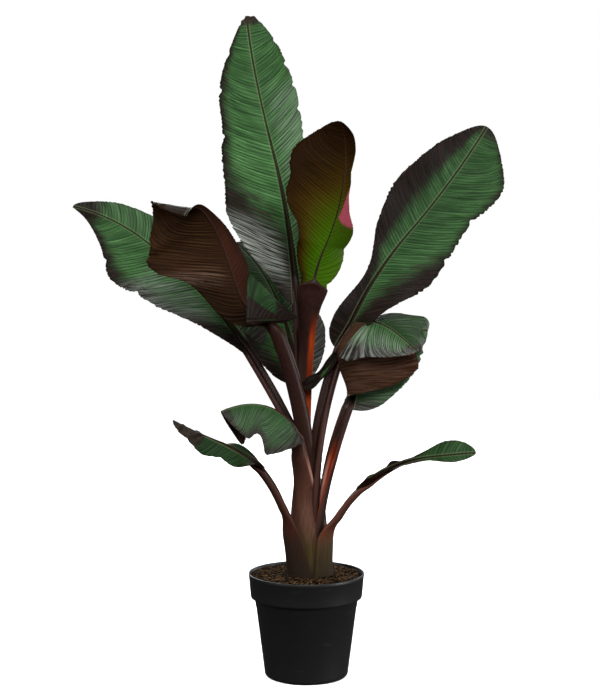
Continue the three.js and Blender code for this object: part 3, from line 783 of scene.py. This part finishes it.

# Blades. Each is one thin sheet, pleated along its side veins, that unrolled from the stem and then tore,
# folded or curled. Its upper side is green round the midrib and plum at its margins, its underside brown.

# Each row is a blade's two halves and what they share. half holds widths from the base to the tip, fold the
# rise from the midrib, and curl the bend that comes between two shares of the width, which turn gives. A half
# that gives none of its own takes its row's value, or else the usual one.
# tint holds the share of the half where the plum margin starts, the shares of the blade below which midrib
# and margin are plum, and the share where the tip turns plum. nicks are places where the margin is torn.
# ripple is the height, number and start of the margin's waves. sweep carries the margin towards the tip,
# blunt and shoulder square off tip and base, and a blade that runs_on isn't closed at its tip. pleat is the
# height of the pleats, pitch the room for each, and a blade that isn't ribbed shows no midrib.
# silver is a painted sheen, a highlight laid into the colour: how strong, and its first and last shares. deep
# darkens the green from base to tip, glow is the light that comes through, blush holds the shares where the
# left margin is pink, ruddy reddens the left underside, and dry is the share from which the tip is dead.
BLADES = {
    "tall": dict(
        left=dict(half=(58, 120, 112, 93, 68, 14), fold=(30, 8, 0), curl=(0, -25, -20),
                  tint=(0.64, 0.2, 0.46, 0.92), nicks=(0.55, 0.72, 0.86), painted_sheen=(1.0, 0.08, 0.24)),
        right=dict(half=(16, 41, 63, 77, 68, 32), fold=(45, 25, 5), curl=(0, -20, -20),
                   tint=(0.82, 0.0, 0.05, 0.92), nicks=(0.58, 0.68, 0.78, 0.88), painted_sheen=(0.35, 0.2, 0.7)),
        ripple=(6, 4.3, 0.4), blunt=30, pleat=1.2, dry=0.95, painted_sheen=(0.3, -1, 2),
        deep=(0, 0, 0, 0.3, 0.3)),
    "young": dict(
        left=dict(half=(64, 80, 32, 12, 22, 32), fold=(30, 20, 0), curl=(0, 20, 0)),
        right=dict(half=(42, 63, 106, 109, 116, 82), fold=(30, 5, 0), curl=(0, -10, 0)),
        tint=(0.6, 0.1, 0.3, 0.8), ripple=(3, 2.5, 0.2), pleat=0.5, glow=1.0, blush=(0.25, 0.61)),
    "right": dict(
        left=dict(half=(64, 24, 70, 94, 80, 53), fold=(40, 15, 5), curl=(0, -15, -10),
                  tint=(0.18, 0.25, 0.62, 0.89)),
        right=dict(half=(48, 103, 104, 92, 113, 64), fold=(40, 10, 5), curl=(0, -20, -10),
                   tint=(0.72, 0.1, 0.5, 0.89), nicks=(0.42, 0.62)),
        ripple=(4, 3.6, 1.0), sweep=0.13, pleat=1.1, deep=(0.3, 0.5)),
    "far_left": dict(
        left=dict(half=(49, 85, 101, 121, 66, 15), fold=(30, 5, -5), curl=(0, -20, -20),
                  tint=(0.58, 0.12, 0.3, 0.79), nicks=(0.45, 0.7), painted_sheen=(0.65, 0.2, 0.52)),
        right=dict(half=(93, 82, 70, 58, 45, 32), fold=(40, 35, 20), curl=(0, -10, 0),
                   tint=(0.85, 0.1, 0.2, 0.8)),
        ripple=(5, 3.2, 2.0), sweep=0.13, pleat=1.1, painted_sheen=(0.1, -1, 2), deep=(0, 0, 0.25, 0.2)),
    "brown": dict(
        left=dict(half=(4, 20, 45, 28, 12, 8), fold=(60, 45, 40, 30), curl=(0, 0),
                  tint=(0.5, 0.3, 0.5, 0.6)),
        right=dict(half=(4, 53, 86, 152, 128, 105), fold=(10, 0, 0, 0), curl=(0, -10, 0),
                   tint=(1.1, 0.3, 0.45, 0.84), painted_sheen=(0.5, 0.42, 0.5)),
        ripple=(3, 2.2, 0.7), sweep=0.1, blunt=16, pleat=1.0, ruddy=0.7),
    "folded": dict(
        left=dict(half=(12, 56, 172, 240, 198, 112), fold=(20, 0, 0, 0), curl=(60, 172, 172, 172),
                  turn=(0.16, 0.38), painted_sheen=(0.15, -1, 2)),
        right=dict(half=(49, 70, 93, 114, 122, 125), fold=(10, 5, 0, 0), curl=(0, 0), painted_sheen=(0.2, -1, 2),
                   deep=(0.6, 0.3)),
        tint=(1.1, 0.1, 0.2, 1.2), ripple=(1, 2.0, 0.0), sweep=0.0, runs_on=True, pleat=0.15, pitch=4,
        ruddy=0.2),
    "folded_tip": dict(
        left=dict(half=(50, 79, 107, 109, 83, 60), fold=(15, 15, 10), curl=(0, 0, -20),
                  tint=(0.9, -0.2, -0.2, 0.8), deep=(0.75, 0.75), painted_sheen=(0.15, -1, 2)),
        right=dict(half=(122, 113, 90, 72, 57, 41), fold=(-26, -35, -35), curl=(-20, -20, 0),
                   tint=(0.45, -0.2, -0.2, 0.75), deep=(0.4, 0.4)),
        ripple=(1, 2.0, 0.0), sweep=0.1, blunt=6, shoulder=60, pleat=0.9, pitch=5.5, painted_sheen=(0.5, -1, 2)),
    "low_left": dict(
        left=dict(half=(14, 42, 32, 38, 26, 20), fold=(30, -25, -30), curl=(30, -15, -10),
                  tint=(0.85, 0.1, 0.2, 0.84), nicks=(0.4, 0.8)),
        right=dict(half=(8, 26, 32, 28, 20, 12), fold=(30, -40, -50), curl=(30, -20, -20),
                   tint=(0.8, 0.1, 0.2, 0.84)),
        ripple=(3, 3.0, 0.0), sweep=0.1, pleat=0.4, dry=0.66, deep=(0.8, 0.8)),
    "front": dict(
        left=dict(half=(40, 98, 105, 66, 76, 60), fold=(-35, -52, -58), curl=(-10, -20, -10),
                  tint=(0.6, 0.1, 0.3, 0.84)),
        right=dict(half=(30, 50, 55, 66, 98, 95), fold=(-10, -40, -68), curl=(0, -30, -10),
                   tint=(0.62, 0.1, 0.25, 0.8)),
        ripple=(4, 2.0, 0.5), sweep=0.05, blunt=10, pleat=0.5, pitch=4.5, deep=(0.55, 0.55),
        painted_sheen=(0.16, -1, 2)),
    "low_right": dict(
        left=dict(half=(6, 14, 4, 14, 4, 8, 15, 25, 30, 27, 18)),
        right=dict(half=(8, 20, 5, 18, 5, 10, 15, 19, 20, 18, 12)),
        fold=(40, 30, 10), curl=(40, 20, 0), tint=(0.8, 0.5, 0.6, 1.2), ripple=(2, 3.0, 0.0), sweep=0.08,
        blunt=20, pleat=0.4, deep=(0.6, 0.6)),
    "back": dict(
        left=dict(half=(84, 96, 90, 80, 55, 30), fold=(20, 10, 10), curl=(0, -15, -10),
                  tint=(0.5, 0.0, 0.3, 0.85)),
        right=dict(half=(56, 78, 66, 57, 45, 30), fold=(20, 15, 10), curl=(0, -20, -10),
                   tint=(0.3, 0.2, 0.8, 0.85), painted_sheen=(0.4, -1, 2)),
        ripple=(4, 2.8, 0.9), pleat=0.9, glow=0.15, deep=(0.7, 0.7)),
    "strip": dict(
        left=dict(half=(9, 10, 9, 10, 14, 14)),
        right=dict(half=(10, 12, 12, 14, 20, 17)),
        fold=(20, 20, 20), curl=(20, 45, 40), tint=(0.1, 0.3, 0.9, 0.5), ripple=(1, 2.0, 0.0), sweep=0.05,
        blunt=10, shoulder=40, pleat=0.3, ribbed=False, deep=(0.3, 0.3)),
    "lap": dict(
        left=dict(half=(96, 78, 58, 38, 20, 8), fold=(0, 10, 10), curl=(0, -10, 0),
                  tint=(1.3, 1.2, -1.0, 0.5)),
        right=dict(half=(8, 10, 10, 9, 8, 5), fold=(-20, -30, -30), curl=(0, -40, -40),
                   tint=(0.0, 0.3, 0.5, 0.5)),
        ripple=(2, 1.5, 0.0), sweep=0.05, blunt=12, shoulder=60, pleat=0.4, ribbed=False,
        deep=(0.8, 0.8)),
}
USUAL = dict(sweep=0.12, blunt=8, shoulder=16, runs_on=False, ribbed=True, pitch=7.5, glow=0.0, dry=2.0,
             deep=(0, 0), ruddy=0.0, blush=(2, 3), painted_sheen=(0, 0, 1), turn=(0, 1), nicks=())
TIP_HALF = 3
COLUMN_SPREAD = 1.4
SWEEP_POWER = 1.5
SWEEP_ONSET = 0.25
RIPPLE_LEAD = 1.7
RIPPLE_POWER = 2
STRIP_STEPS = 16
LEAST_CURL_RADIUS = 5
HALF_COLUMNS = 22
BLADE_ROW = 1.5
LEAST_ROWS = 60
BLADE_THICKNESS = 1.0
CHANNEL_SINKS = 0.5
CHANNEL_SHARE = 0.4
VEIN_STRAY = 0.6
VEIN_LEAN = 0.65
VEIN_BENDS = 0.6
VEIN_ENDS = 0.2
STRAY_PACE = 0.4
STRAY_LANE = 3
PLEAT_SHARE = 0.9
PLEATS_RISE = (0.02, 0.2)
PLEATS_FADE = (0.6, 1.0)
PLEATS_LOSE = 0.6
UNEVEN_PACE = 0.5
UNEVEN_LANE = 5
UNEVEN_START = 7
FRILL_HEIGHT = 1.6
FRILL_LENGTH = 30.0
FRILL_POWER = 6
NICK_DEPTH = 0.07
NICK_LENGTH = 7.0
SCALLOP = 0.035
SCALLOP_LENGTH = 45.0
CRUMPLE = 7.0
CRUMPLE_LENGTH = 9.0
DRY_FADE = 0.03
MARGIN_FADE = (0.1, 0.5)
BASE_FADE = 0.2
TIP_FADE = 0.15
GLOW_ENDS = (1.1, 0.2)
GLOW_RUN = (0.05, 0.95)
GLOW_LOST_LEFT = 0.3
GLOW_LOST_RIGHT = 0.75
BLUSH_OUT = 0.15
BLUSH_FADE = 0.12
PAINTED_SHEEN_FADE = 0.06
PAINTED_SHEEN_CLEAR = 0.45
FAR_FROM_RIB = 12.6
LINES_PER_VEIN = 5
LEAF_GREENS = ((34, 65, 33), (87, 134, 78))
BLOTCH_GREEN = (40, 72, 36)
DEEP_GREEN = (12, 28, 7)
GLOW_GREEN = (82, 150, 44)
PLUMS = ((12, 7, 5), (40, 29, 26))
PAINTED_UPPER_SHEEN = (142, 148, 140)
UPPER_CREASE_SHADE = (10, 16, 8)
UPPER_BLUSH = (150, 70, 84)
CHANNEL_BROWN_AND_SHADE = (32, 20, 15)
RIB_CREAM_AND_HIGHLIGHT = (112, 128, 90)
DEAD_BROWN = (44, 38, 32)
UNDER_BROWNS = ((28, 16, 7), (57, 37, 20))
UNDER_WARMS = ((22, 10, 1), (38, 20, 3))
UNDER_LIT = ((58, 42, 4), (53, 88, 3))
UNDER_BLOTCH = (48, 24, 14)
UNDER_RUDDY = (58, 27, 17)
UNDER_MARGIN_AND_SHADE = (20, 12, 7)
PAINTED_UNDER_SHEEN = (124, 100, 86)
UNDER_CREASE_SHADE = (16, 9, 4)
UNDER_BLUSH = (150, 66, 80)
BLADE_MARKS = ("phase", "out", "beside", "dry", "plum", "glow", "pink", "deep", "ruddy", "painted_sheen")


def half_width(half, share):
    tip = 1 if half["runs_on"] else math.sqrt(1 - share ** half["blunt"])
    base = math.sqrt(1 - (1 - share) ** half["shoulder"])
    least = lerp(half["width"][1] / 2, TIP_HALF, share)
    return max(flowing(half["half"], share) * tip * base, least)


def torn_width(half, share):
    """The half width with its scallops and its nicks."""
    length = share * half["blade"]
    width = half_width(half, share)
    width *= 1 + SCALLOP * noise.noise(Vector((length / SCALLOP_LENGTH, width, half["blade"])))
    for nick in half["nicks"]:
        width *= 1 - NICK_DEPTH * math.exp(-(((length - nick * half["blade"]) / NICK_LENGTH) ** 2))
    return width


def unswept(half, at, reach):
    """The share of the blade whose margin is swept to a place at this reach."""
    carried = half["sweep"] * reach**SWEEP_POWER
    share = (at - carried) / (1 - carried)
    if share < SWEEP_ONSET and carried > 0:
        set_in = carried / SWEEP_ONSET
        share = (1 + set_in - math.sqrt((1 + set_in) ** 2 - 4 * set_in * at)) / (2 * set_in)
    return clamp(share)


def strip_end(half, width, at, reach):
    """Where a strip that leaves the midrib gets to, out and up, and the angle it has there."""
    start, stop = half["turn"]
    fold = between(half["fold"], at, ease)
    tightest = math.degrees(width * (stop - start) / LEAST_CURL_RADIUS)
    curl = max(min(between(half["curl"], at, ease), tightest), -tightest)

    def angle_at(share):
        return math.radians(fold + curl * clamp((share - start) / (stop - start)))

    step = width * reach / STRIP_STEPS
    out = up = 0.0
    for i in range(STRIP_STEPS):
        angle = angle_at(reach * (i + 0.5) / STRIP_STEPS)
        out += step * math.cos(angle)
        up += step * math.sin(angle)
    return out, up, angle_at(reach)


def plum_share(half, share, reach):
    """How plum the upper side is: at the margin, towards the base and at the tip."""
    edge, low_rib, low_edge, high = half["tint"]
    low = lerp(low_rib, low_edge, reach)
    margin = rise_between(edge - MARGIN_FADE[0], edge + MARGIN_FADE[1], reach)
    base = 1 - rise_between(low - BASE_FADE, low + BASE_FADE, share)
    tip = rise_between(high, high + TIP_FADE, share)
    return max(margin, base, tip)


def blade_relief(half, row, at, along, reach):
    """The phase of the side veins at a place, and how far waves, frills and pleats lift it."""
    height, waves, start = half["ripple"]
    sign = half["sign"]
    ends = math.sqrt(max(4 * along * (1 - along), 0))
    swing = 2 * math.pi * waves * at + start + (RIPPLE_LEAD if sign > 0 else 0)
    wave = height * ends * reach**RIPPLE_POWER * math.sin(swing)
    crimp = noise.noise(Vector((at * half["blade"] / FRILL_LENGTH, sign, start)))
    frill = FRILL_HEIGHT * ends * reach**FRILL_POWER * crimp
    veins = row * (half["blade"] / half["pitch"])
    phase = veins + VEIN_STRAY * noise.noise(Vector((veins * STRAY_PACE, sign * STRAY_LANE, start)))
    uneven = 1 + noise.noise(Vector((veins * UNEVEN_PACE, sign * UNEVEN_LANE, start + UNEVEN_START)))
    crown = rise_between(*PLEATS_RISE, reach) * (1 - PLEATS_LOSE * rise_between(*PLEATS_FADE, reach))
    ridge = abs(math.sin(math.pi * phase)) * 2 - 1
    pleat = PLEAT_SHARE * half["pleat"] * ends * crown * uneven * ridge
    return phase, wave + frill + pleat


def blade_looks(half, along, reach):
    """How plum, glowing, pink, deep and ruddy the blade is at a place, and how strong its painted sheen is.
    """
    on_left = half["sign"] < 0
    lost = GLOW_LOST_LEFT if on_left else GLOW_LOST_RIGHT
    glow = half["glow"] * (1 - lost * reach) * lerp(*GLOW_ENDS, rise_between(*GLOW_RUN, along))
    first, last = half["blush"]
    off_middle = abs(2 * along - first - last) / (last - first)
    pink = rise_between(0, BLUSH_FADE, reach - off_middle - BLUSH_OUT) * on_left
    deep = between(half["deep"], along)
    ruddy = half["ruddy"] * on_left
    # The sheen is a painted highlight, a pale wash in the colour that fades towards the midrib.
    sheen, first, last = half["painted_sheen"]
    painted_sheen = sheen * stretch(first, last, PAINTED_SHEEN_FADE, along) * rise_between(0, PAINTED_SHEEN_CLEAR, reach)
    return plum_share(half, along, reach), glow, pink, deep, ruddy, painted_sheen


def blade_shape(leaf):
    points = blade_points(leaf)
    left = {**leaf, **leaf["left"], "sign": -1}
    right = {**leaf, **leaf["right"], "sign": 1}

    def place(across, row):
        x = 2 * across - 1
        half = left if x < 0 else right
        sign = half["sign"]
        reach = abs(x) ** COLUMN_SPREAD
        lead = VEIN_LEAN * reach * lerp(VEIN_BENDS, 1, reach) * half_width(half, row) / leaf["blade"]
        at = row + lead * ease(row / VEIN_ENDS) * ease((1 - row) / VEIN_ENDS)
        along = unswept(half, at, reach)
        lean = between(leaf["lean"][1:], at)
        heading = between(leaf["heading"][1:], at)
        side, face = axes_at(lean, heading, between(leaf["roll"], at, ease))
        width = torn_width(half, along)
        out, up, angle = strip_end(half, width, at, reach)
        normal = face * math.cos(angle) - side * (sign * math.sin(angle))
        phase, relief = blade_relief(half, row, at, along, reach)
        rib = rib_half(leaf, at)
        sunk = min(CHANNEL_SINKS * rib, CHANNEL_SHARE * leaf.get("deepest", DEEPEST))
        channel = -sunk * (1 - ease(reach * width / rib))
        dry = rise_between(leaf["dry"], leaf["dry"] + DRY_FADE, along)
        crumple = dry * CRUMPLE * noise.noise(Vector((out, at * leaf["blade"], sign)) / CRUMPLE_LENGTH)
        point = point_on(points, at) + side * (sign * out) + face * up
        point += normal * (relief + channel + crumple)
        beside = reach * width - rib if leaf["ribbed"] else FAR_FROM_RIB
        return point, phase, reach * width, beside, dry, *blade_looks(half, along, reach)

    rows = max(int(leaf["blade"] / BLADE_ROW), LEAST_ROWS)
    return grown_sheet(2 * HALF_COLUMNS, rows, place, BLADE_MARKS)


class LeafSide(Finish):
    """The finish of one side of a blade, whose patterns follow the side veins."""

    def __init__(self, name):
        super().__init__(name)
        self.phase = self.mark("phase")
        self.out = self.mark("out")

    def drawn_out(self, pace, run, lane, detail):
        """Mottle along the side veins. pace goes across them, run along them, and lane picks the pattern."""
        return self.mottle(self.spot(self.phase * pace, self.out * run, lane), scale=1, detail=detail)

    def furrow(self, width):
        """1 in the furrow between two pleats and 0 beside it."""
        return 1 - ((self.phase * math.pi).sine() ** 2.0).ramp(0.0, width)

    def fine_lines(self, streaks):
        lines = (self.phase * (2 * math.pi * LINES_PER_VEIN)).sine()
        return self.bump(lines * 0.5 + streaks, distance=0.0006, strength=0.35)


def upper_finish():
    finish = LeafSide("leaf upper side")
    streaks = finish.drawn_out(pace=2.6, run=0.012, lane=0, detail=4)
    blotch = finish.drawn_out(pace=0.35, run=0.02, lane=4, detail=3)
    painted_sheen_streaks = finish.drawn_out(pace=4, run=0.015, lane=3, detail=3).ramp(0.38, 0.62)
    broken = finish.drawn_out(pace=0.8, run=0.006, lane=7, detail=2).ramp(0.2, 0.5)
    crease_shade = finish.furrow(0.3) * broken
    beside = finish.mark("beside")
    channel = 1 - beside.ramp(-0.4, 1.0)
    cream_and_highlight = beside.ramp(0.2, 1.2) * (1 - beside.ramp(1.6, 4.0))
    green = finish.shade(streaks.ramp(0.3, 0.7), *LEAF_GREENS)
    green = finish.stain(blotch.ramp(0.35, 0.7) * 0.5, green, BLOTCH_GREEN)
    green = finish.stain(finish.mark("deep"), green, DEEP_GREEN)
    green = finish.stain(finish.mark("glow") * streaks.ramp(0.2, 0.7), green, GLOW_GREEN)
    plum = finish.shade(streaks.ramp(0.3, 0.7), *PLUMS)
    amount = (finish.mark("plum") + (streaks - 0.5) * 1.6 + (blotch - 0.5) * 0.6).ramp(0.15, 0.85)
    colour = finish.blend(amount, green, plum)
    # Painted sheen: a pale highlight laid into the colour in broken streaks.
    colour = finish.stain(painted_sheen_streaks * finish.mark("painted_sheen"), colour, PAINTED_UPPER_SHEEN)
    # Painted shade: dark lines laid into the furrows between the pleats.
    colour = finish.stain(crease_shade * 0.65, colour, UPPER_CREASE_SHADE)
    # Over the midrib's channel the dark brown is partly the rib's own colour and partly painted shade in the
    # groove.
    colour = finish.stain(channel * 0.9, colour, CHANNEL_BROWN_AND_SHADE)
    # A pale strip beside the midrib: partly its own paler colour, partly a painted highlight along the
    # groove's edge.
    colour = finish.stain(cream_and_highlight * 0.3, colour, RIB_CREAM_AND_HIGHLIGHT)
    colour = finish.stain(finish.mark("pink"), colour, UPPER_BLUSH)
    colour = finish.stain(finish.mark("dry"), colour, DEAD_BROWN)
    normal = finish.fine_lines(streaks)
    roughness = 0.26 + blotch * 0.14 + streaks * 0.18
    return finish.dress(Base_Color=colour, Roughness=roughness, Specular_IOR_Level=0.07, Normal=normal)


def under_finish():
    finish = LeafSide("leaf underside")
    streaks = finish.drawn_out(pace=3, run=0.01, lane=9, detail=4)
    blotch = finish.drawn_out(pace=0.3, run=0.016, lane=2, detail=3)
    painted_sheen_streaks = finish.drawn_out(pace=4, run=0.015, lane=3, detail=3).ramp(0.4, 0.6)
    glow = finish.mark("glow")
    brown = finish.shade(streaks.ramp(0.3, 0.7), *UNDER_BROWNS)
    brown = finish.stain(blotch.ramp(0.4, 0.75) * 0.5, brown, UNDER_BLOTCH)
    brown = finish.stain(finish.mark("ruddy"), brown, UNDER_RUDDY)
    # The underside darkens where the upper side is plum: partly the margins' own colour, partly painted shade
    # at the brown leaf's base.
    brown = finish.stain(finish.mark("plum") * 0.6, brown, UNDER_MARGIN_AND_SHADE)
    warm = finish.shade(streaks.ramp(0.3, 0.7), *UNDER_WARMS)
    brown = finish.blend(glow.ramp(0.0, 0.05), brown, warm)
    lit = finish.shade((glow + (streaks - 0.5) * 0.4).ramp(0.35, 0.95), *UNDER_LIT)
    colour = finish.blend((glow + (streaks - 0.5) * 0.35).ramp(0.14, 0.55), brown, lit)
    # Painted sheen: a pale highlight laid into the colour in broken streaks.
    colour = finish.stain(painted_sheen_streaks * finish.mark("painted_sheen"), colour, PAINTED_UNDER_SHEEN)
    # Painted shade: dark lines laid into the furrows between the pleats.
    colour = finish.stain(finish.furrow(0.25) * 0.38, colour, UNDER_CREASE_SHADE)
    colour = finish.stain(finish.mark("pink"), colour, UNDER_BLUSH)
    colour = finish.stain(finish.mark("dry"), colour, DEAD_BROWN)
    normal = finish.fine_lines(streaks)
    roughness = 0.5 + blotch * 0.15
    return finish.dress(Base_Color=colour, Roughness=roughness, Specular_IOR_Level=0.03, Normal=normal)


leaf_sides = [upper_finish(), under_finish()]
for name, blade in BLADES.items():
    leaf = {**USUAL, **GROWTH[name], **blade}
    piece = place_piece("blade_" + name, blade_shape(leaf), leaf_sides, "leaf", "leaf_" + name)
    body = piece.modifiers.new("leaf thickness", "SOLIDIFY")
    body.thickness = BLADE_THICKNESS * MM
    body.offset = -1
    body.material_offset = 1
    body.material_offset_rim = 1

# Stage. A pale floor under soft boxes, with a white surround that only the camera sees at full brightness. A
# broad overhead wash keeps the floor as white as the surround, and falls on the floor alone.
FLOOR_HALF = 6.0
FLOOR_WHITE = (244, 244, 244)
FLOOR_WASH = 3.6
WASH_ANGLE = math.radians(140)
SURROUND_LIGHT = 0.05
SOFT_BOXES = [
    dict(name="key", place=(0.3, -2.9, 2.5), size=(2.2, 1.6), power=125),
    dict(name="fill", place=(-2.4, -1.8, 1.8), size=(1.0, 1.6), power=46),
    dict(name="side", place=(2.6, -1.0, 0.5), size=(0.5, 1.0), power=44),
    dict(name="top", place=(0.3, 1.0, 3.2), size=(1.5, 1.5), power=30),
    dict(name="back", place=(-1.2, 3.2, 1.8), size=(2.2, 1.6), power=85),
    dict(name="back side", place=(2.6, 2.0, 1.2), size=(1.2, 1.6), power=38),
]
AIM = Vector((0, 0, 0.75))

floor_shape = bmesh.new()
bmesh.ops.create_grid(floor_shape, x_segments=1, y_segments=1, size=FLOOR_HALF)
floor_data = bpy.data.meshes.new("floor")
floor_shape.to_mesh(floor_data)
floor_shape.free()
floor_data.materials.append(Finish("pale floor").dress(Base_Color=tone(*FLOOR_WHITE), Roughness=0.8))
floor = in_scene("floor", floor_data)
floor.visible_diffuse = False
floor.visible_glossy = False

for box in SOFT_BOXES:
    lamp_data = bpy.data.lights.new(box["name"], "AREA")
    lamp_data.shape = "RECTANGLE"
    lamp_data.size, lamp_data.size_y = box["size"]
    lamp_data.energy = box["power"]
    lamp = in_scene(box["name"], lamp_data)
    lamp.location = box["place"]
    lamp.rotation_euler = (AIM - lamp.location).to_track_quat("-Z", "Y").to_euler()

floor_alone = bpy.data.collections.new("floor alone")
floor_alone.objects.link(floor)
wash_data = bpy.data.lights.new("wash", "SUN")
wash_data.energy = FLOOR_WASH
wash_data.angle = WASH_ANGLE
wash = in_scene("wash", wash_data)
wash.light_linking.receiver_collection = floor_alone


class Surround(Finish):
    """The world's light, with nodes made in the same way as a material's."""

    def __init__(self, name):
        world = bpy.data.worlds.new(name)
        world.use_nodes = True
        bpy.context.scene.world = world
        self.tree = world.node_tree
        self.shader = self.tree.nodes["Background"]


surround = Surround("white surround")
seen = surround.node("ShaderNodeLightPath", {}, {}, "Is Camera Ray")
strength = surround.node("ShaderNodeMapRange", {}, {"Value": seen, "To Min": SURROUND_LIGHT, "To Max": 1.0})
surround.feed(surround.shader.inputs["Strength"], strength)
surround.feed(surround.shader.inputs["Color"], (1, 1, 1, 1))
bpy.context.scene.view_settings.view_transform = "Standard"
